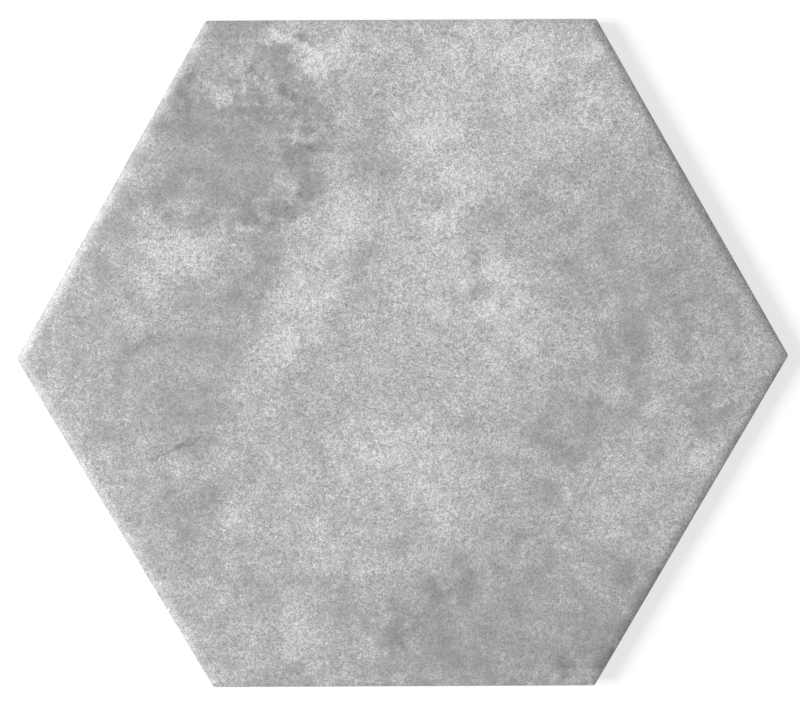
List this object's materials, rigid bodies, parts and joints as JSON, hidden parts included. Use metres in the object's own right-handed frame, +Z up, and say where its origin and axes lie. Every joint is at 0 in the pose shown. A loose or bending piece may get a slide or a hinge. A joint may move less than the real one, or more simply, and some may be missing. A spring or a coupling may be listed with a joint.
{
  "type": "hexagonal floor tile",
  "caption": "Flat hexagonal porcelain floor tile with a matt cement-look face, cushioned edges and a shallow honeycomb key pressed into its back.",
  "frame": {"origin": "middle of the tile's back, on the plane of the ribs and the rim that it rests on", "axes": "+Z up through the face, +X from the middle to a corner, +Y squarely through a side"},
  "size_m": [0.2882, 0.25, 0.009],
  "materials": {
    "porcelain": "matt glaze with a grey cement-look print on the face and the arris, bare grey fired body on the sides and the back"
  },
  "bodies": {
    "root": {"hexagon_tile": "porcelain"}
  },
  "joints": []
}
